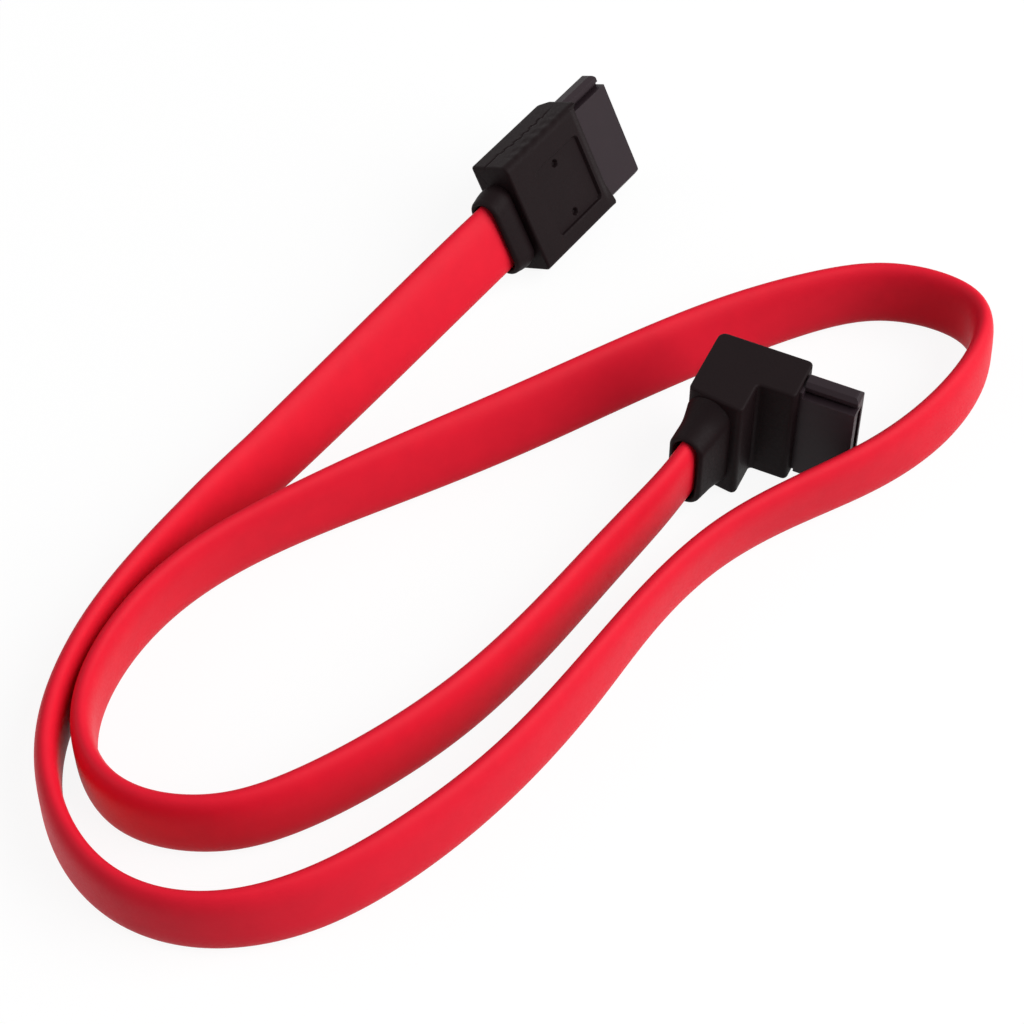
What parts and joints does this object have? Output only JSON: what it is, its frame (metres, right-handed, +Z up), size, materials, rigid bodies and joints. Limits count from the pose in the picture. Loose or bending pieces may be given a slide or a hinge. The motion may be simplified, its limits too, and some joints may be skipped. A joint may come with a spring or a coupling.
{
  "type": "sata data cable",
  "caption": "Flat red serial data cable lying in a long loop, with a straight plug at one end and a right-angle plug at the other.",
  "frame": {"origin": "on the table, under the middle of the right-angle plug's block, where its narrow side rests", "axes": "+Z up from the table, +Y away from the viewer of the picture, +X to the viewer's right"},
  "size_m": [0.1028, 0.1132, 0.0151],
  "materials": {
    "jacket": "satin red PVC, extruded",
    "overmould": "fine matt black PVC, moulded",
    "insulator": "smooth black polyester, moulded",
    "contact": "gold-plated strip",
    "foil": "bright wrapped foil",
    "wire_insulation": "natural polyethylene",
    "drain": "tinned copper wire"
  },
  "bodies": {
    "root": {"cable_jacket": "jacket", "shielded_pair_a": "foil", "shielded_pair_b": "foil", "straight_overmould": "overmould", "straight_housing": "insulator", "straight_contact_1": "contact", "straight_contact_2": "contact", "straight_contact_3": "contact", "straight_contact_4": "contact", "straight_contact_5": "contact", "straight_contact_6": "contact", "straight_contact_7": "contact", "straight_signal_wire_1": "wire_insulation", "straight_signal_wire_2": "wire_insulation", "straight_signal_wire_3": "wire_insulation", "straight_signal_wire_4": "wire_insulation", "straight_drain_wire_1": "drain", "straight_drain_wire_2": "drain", "straight_drain_wire_3": "drain", "straight_drain_wire_4": "drain", "angled_overmould": "overmould", "angled_housing": "insulator", "angled_contact_1": "contact", "angled_contact_2": "contact", "angled_contact_3": "contact", "angled_contact_4": "contact", "angled_contact_5": "contact", "angled_contact_6": "contact", "angled_contact_7": "contact", "angled_signal_wire_1": "wire_insulation", "angled_signal_wire_2": "wire_insulation", "angled_signal_wire_3": "wire_insulation", "angled_signal_wire_4": "wire_insulation", "angled_drain_wire_1": "drain", "angled_drain_wire_2": "drain", "angled_drain_wire_3": "drain", "angled_drain_wire_4": "drain"}
  },
  "joints": []
}
